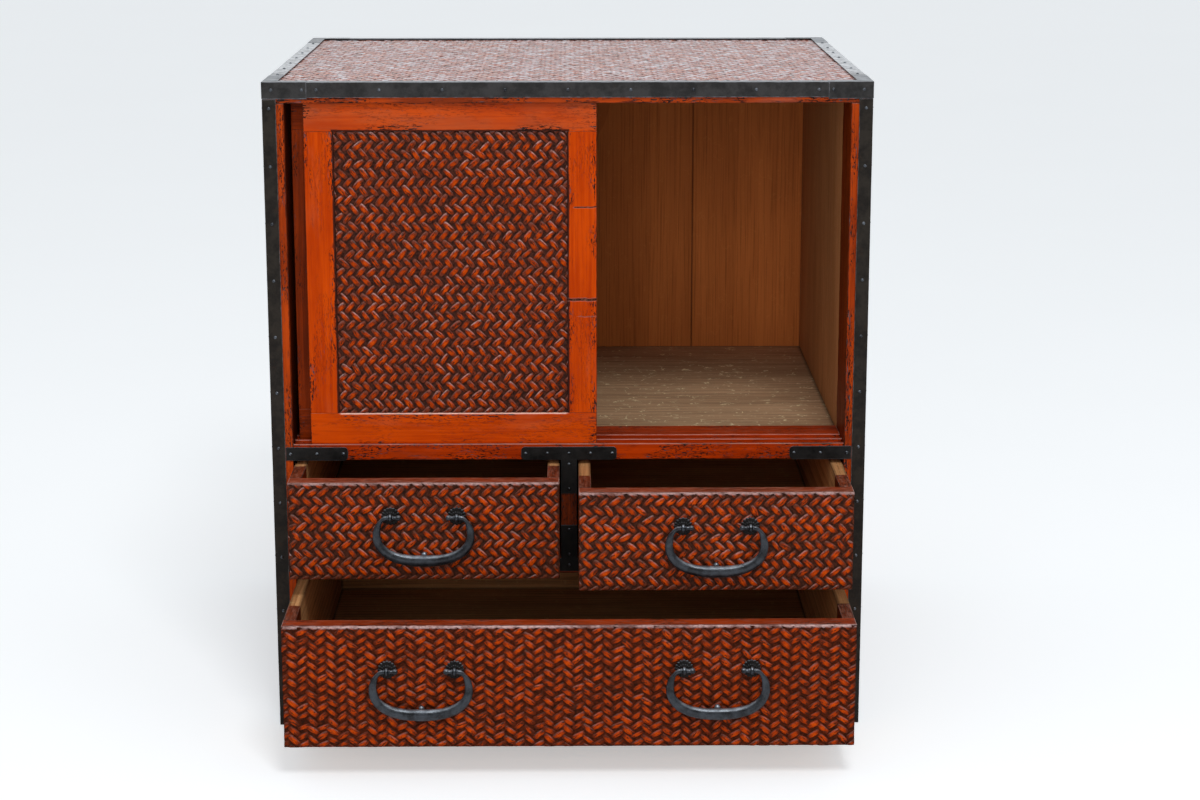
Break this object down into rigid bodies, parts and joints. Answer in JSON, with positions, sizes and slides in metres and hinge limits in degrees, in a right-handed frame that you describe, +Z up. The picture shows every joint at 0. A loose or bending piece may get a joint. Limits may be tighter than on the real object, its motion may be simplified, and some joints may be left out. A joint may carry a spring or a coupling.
{
  "type": "small tansu chest",
  "caption": "Small tabletop chest with sliding doors, woven lacquered drawers, black iron edging and drop handles.",
  "frame": {"origin": "centre of the underside of the case, on the surface that it stands on", "axes": "+X to the right seen from the front, +Y to the back, +Z up"},
  "size_m": [0.4518, 0.5188, 0.4987],
  "materials": {
    "plain_wood": "aged bare softwood with open grain",
    "drawer_wood": "bare wood, the front ends lacquered dark red",
    "red_lacquer": "worn red lacquer, dark along the edges",
    "orange_lacquer": "worn orange-red lacquer over wood",
    "woven_lacquer": "woven twill splints under lacquer, red on the highs and dark in the hollows",
    "black_iron": "hand-forged iron, satin black"
  },
  "bodies": {
    "case": {"top_board": "plain_wood", "head_rail": "red_lacquer", "side_board_left": "plain_wood", "side_board_right": "plain_wood", "back_boards": "plain_wood", "compartment_floor": "plain_wood", "sill_rail": "red_lacquer", "centre_divider": "red_lacquer", "lower_rail": "red_lacquer", "drawer_shelf": "plain_wood", "base_rail": "red_lacquer", "bottom_board": "plain_wood", "drawer_runners": "plain_wood", "woven_top": "woven_lacquer", "woven_sides": "woven_lacquer", "top_edge_long": "black_iron", "top_edge_side": "black_iron", "corner_caps": "black_iron", "front_posts": "black_iron", "back_posts": "black_iron", "foot_bands": "black_iron", "tee_plates": "black_iron", "end_brackets": "black_iron", "case_nails": "black_iron"},
    "front_door": {"front_door_stiles": "orange_lacquer", "front_door_rails": "orange_lacquer", "front_door_panel": "plain_wood", "front_door_weave": "woven_lacquer"},
    "rear_door": {"rear_door_stiles": "orange_lacquer", "rear_door_rails": "orange_lacquer", "rear_door_panel": "plain_wood", "rear_door_weave": "woven_lacquer"},
    "small_drawer_left": {"small_drawer_left_front": "red_lacquer", "small_drawer_left_weave": "woven_lacquer", "small_drawer_left_sides": "drawer_wood", "small_drawer_left_back": "drawer_wood", "small_drawer_left_bottom": "drawer_wood", "small_drawer_left_rosettes": "black_iron", "small_drawer_left_eyes": "black_iron", "small_drawer_left_studs": "black_iron"},
    "small_drawer_right": {"small_drawer_right_front": "red_lacquer", "small_drawer_right_weave": "woven_lacquer", "small_drawer_right_sides": "drawer_wood", "small_drawer_right_back": "drawer_wood", "small_drawer_right_bottom": "drawer_wood", "small_drawer_right_rosettes": "black_iron", "small_drawer_right_eyes": "black_iron", "small_drawer_right_studs": "black_iron"},
    "large_drawer": {"large_drawer_front": "red_lacquer", "large_drawer_weave": "woven_lacquer", "large_drawer_sides": "drawer_wood", "large_drawer_back": "drawer_wood", "large_drawer_bottom": "drawer_wood", "large_drawer_rosettes": "black_iron", "large_drawer_eyes": "black_iron", "large_drawer_studs": "black_iron"},
    "bail_small_left": {"bail_small_left": "black_iron"},
    "bail_small_right": {"bail_small_right": "black_iron"},
    "bail_large_left": {"bail_large_left": "black_iron"},
    "bail_large_right": {"bail_large_right": "black_iron"}
  },
  "joints": [
    {"name": "front_door_slide", "type": "slide", "parent": "case", "child": "front_door", "axis": [1, 0, 0], "range_m": [-0.0131, 0.1875]},
    {"name": "rear_door_slide", "type": "slide", "parent": "case", "child": "rear_door", "axis": [1, 0, 0], "range_m": [-0.0028, 0.1978]},
    {"name": "small_drawer_left_slide", "type": "slide", "parent": "case", "child": "small_drawer_left", "axis": [0, -1, 0], "range_m": [-0.055, 0.195]},
    {"name": "small_drawer_right_slide", "type": "slide", "parent": "case", "child": "small_drawer_right", "axis": [0, -1, 0], "range_m": [-0.085, 0.165]},
    {"name": "large_drawer_slide", "type": "slide", "parent": "case", "child": "large_drawer", "axis": [0, -1, 0], "range_m": [-0.119, 0.131]},
    {"name": "bail_small_left_swing", "type": "hinge", "parent": "small_drawer_left", "child": "bail_small_left", "pos_m": [-0.10758, -0.2554, 0.1832], "axis": [-1, 0, 0], "range_deg": [0, 160]},
    {"name": "bail_small_right_swing", "type": "hinge", "parent": "small_drawer_right", "child": "bail_small_right", "pos_m": [0.10758, -0.2854, 0.1832], "axis": [-1, 0, 0], "range_deg": [0, 160]},
    {"name": "bail_large_left_swing", "type": "hinge", "parent": "large_drawer", "child": "bail_large_left", "pos_m": [-0.10758, -0.3194, 0.0858], "axis": [-1, 0, 0], "range_deg": [0, 160]},
    {"name": "bail_large_right_swing", "type": "hinge", "parent": "large_drawer", "child": "bail_large_right", "pos_m": [0.10758, -0.3194, 0.0858], "axis": [-1, 0, 0], "range_deg": [0, 160]}
  ]
}
